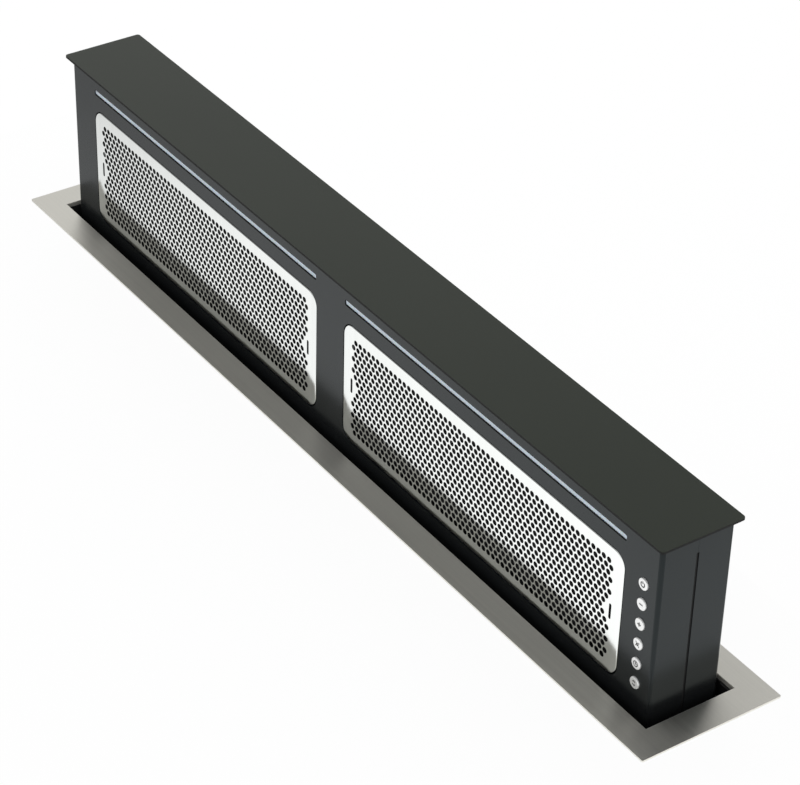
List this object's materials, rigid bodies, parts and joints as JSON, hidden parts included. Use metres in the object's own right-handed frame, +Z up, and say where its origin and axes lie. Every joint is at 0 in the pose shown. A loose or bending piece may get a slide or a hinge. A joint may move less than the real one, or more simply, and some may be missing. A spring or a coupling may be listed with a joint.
{
  "type": "downdraft vent",
  "caption": "Pop-up downdraft vent: a slim lit head with perforated filters and push buttons rises on belts through a worktop trim from a casing with blower and duct outlet.",
  "frame": {"origin": "centre of the worktop cut-out, on the worktop's surface, which is the underside of the trim plate", "axes": "+X to the right along the trim, +Y to the back, +Z up; the filters and buttons face -Y"},
  "size_m": [0.88, 0.2912, 0.7725],
  "materials": {
    "brushed_trim": "brushed along its length, satin",
    "polished_steel": "polished stainless, bevelled rim",
    "body_black": "satin black powder coat",
    "lid_olive": "fine satin dark olive grey",
    "casing_black": "matt black powder coat",
    "galvanised": "galvanised sheet with a faint spangle",
    "zinc_steel": "bright zinc plate",
    "mesh_aluminium": "layered expanded mesh",
    "anodised": "satin anodised",
    "seal_rubber": "matt extruded seal",
    "belt_rubber": "toothed belt, matt",
    "nylon_black": "moulded, fine grain",
    "nylon_white": "moulded, natural",
    "abs_black": "moulded, fine grain",
    "motor_grey": "dark grey paint on cast housing",
    "lens_frost": "frosted light cover",
    "button_cap": "polished cap",
    "circuit": "solder mask with dark parts"
  },
  "bodies": {
    "base": {"trim_plate": "brushed_trim", "casing_front": "casing_black", "casing_rear": "casing_black", "casing_ends": "casing_black", "casing_floor": "casing_black", "feet": "galvanised", "foot_bolts": "zinc_steel", "lip_screws": "zinc_steel", "case_rivets": "zinc_steel", "guide_pads": "nylon_black", "guide_rails": "zinc_steel", "grease_tray": "galvanised", "lift_gearmotor": "motor_grey", "shaft_bearings": "nylon_white", "idler_brackets": "zinc_steel", "belts": "belt_rubber", "limit_switches": "abs_black", "blower_box": "galvanised", "blower_cover": "galvanised", "scroll_wrap": "galvanised", "inlet_ring": "galvanised", "blower_motor": "motor_grey", "outlet_spigot": "abs_black", "flap_pin": "zinc_steel", "control_box": "galvanised", "control_lid": "galvanised", "control_board": "circuit", "cable_gland": "abs_black"},
    "drive": {"cross_shaft": "zinc_steel", "drive_pulleys": "anodised"},
    "idler_l": {"idler_left": "nylon_white"},
    "idler_r": {"idler_right": "nylon_white"},
    "fan": {"impeller": "galvanised"},
    "flap_f": {"flap_front": "abs_black"},
    "flap_r": {"flap_rear": "abs_black"},
    "head": {"head_front_shell": "body_black", "head_rear_shell": "body_black", "lid": "lid_olive", "lid_seal": "seal_rubber", "lid_screws": "zinc_steel", "centre_post": "zinc_steel", "lift_legs": "zinc_steel", "tie_bar": "zinc_steel", "belt_clamps": "abs_black", "glide_shoes": "nylon_white", "filter_face_left": "polished_steel", "filter_face_right": "polished_steel", "filter_meshes": "mesh_aluminium", "filter_frames": "anodised", "led_lenses": "lens_frost", "led_housings": "anodised", "button_carrier": "nylon_black", "button_board": "circuit"},
    "push_1": {"button_1": "button_cap"},
    "push_2": {"button_2": "button_cap"},
    "push_3": {"button_3": "button_cap"},
    "push_4": {"button_4": "button_cap"},
    "push_5": {"button_5": "button_cap"},
    "push_6": {"button_6": "button_cap"}
  },
  "joints": [
    {"name": "head_lift", "type": "slide", "parent": "base", "child": "head", "axis": [0, 0, 1], "range_m": [-0.151, 0]},
    {"name": "cross_shaft_spin", "type": "hinge", "parent": "base", "child": "drive", "pos_m": [0, 0.02105, -0.44], "axis": [1, 0, 0], "range_deg": [0, 665]},
    {"name": "idler_left_spin", "type": "hinge", "parent": "base", "child": "idler_l", "pos_m": [-0.3808, 0.02105, -0.229], "axis": [1, 0, 0], "range_deg": [0, 665]},
    {"name": "idler_right_spin", "type": "hinge", "parent": "base", "child": "idler_r", "pos_m": [0.3808, 0.02105, -0.229], "axis": [1, 0, 0], "range_deg": [0, 665]},
    {"name": "impeller_spin", "type": "hinge", "parent": "base", "child": "fan", "pos_m": [0.1, -0.1, -0.4], "axis": [0, 1, 0], "continuous": true},
    {"name": "flap_front_swing", "type": "hinge", "parent": "base", "child": "flap_f", "pos_m": [0.312, -0.125, -0.331], "axis": [0, 0, 1], "range_deg": [0, 75], "stiffness_Nm_per_rad": 0.02},
    {"name": "flap_rear_swing", "type": "hinge", "parent": "base", "child": "flap_r", "pos_m": [0.312, -0.125, -0.331], "axis": [0, 0, -1], "range_deg": [0, 75], "stiffness_Nm_per_rad": 0.02},
    {"name": "button_1_push", "type": "slide", "parent": "head", "child": "push_1", "axis": [0, 1, 0], "range_m": [0, 0.001], "stiffness_N_per_m": 300},
    {"name": "button_2_push", "type": "slide", "parent": "head", "child": "push_2", "axis": [0, 1, 0], "range_m": [0, 0.001], "stiffness_N_per_m": 300},
    {"name": "button_3_push", "type": "slide", "parent": "head", "child": "push_3", "axis": [0, 1, 0], "range_m": [0, 0.001], "stiffness_N_per_m": 300},
    {"name": "button_4_push", "type": "slide", "parent": "head", "child": "push_4", "axis": [0, 1, 0], "range_m": [0, 0.001], "stiffness_N_per_m": 300},
    {"name": "button_5_push", "type": "slide", "parent": "head", "child": "push_5", "axis": [0, 1, 0], "range_m": [0, 0.001], "stiffness_N_per_m": 300},
    {"name": "button_6_push", "type": "slide", "parent": "head", "child": "push_6", "axis": [0, 1, 0], "range_m": [0, 0.001], "stiffness_N_per_m": 300}
  ],
  "couplings": [
    {"joint": "cross_shaft_spin", "follows": "head_lift", "rad_per_m": -76.628},
    {"joint": "idler_left_spin", "follows": "head_lift", "rad_per_m": -76.628},
    {"joint": "idler_right_spin", "follows": "head_lift", "rad_per_m": -76.628}
  ]
}
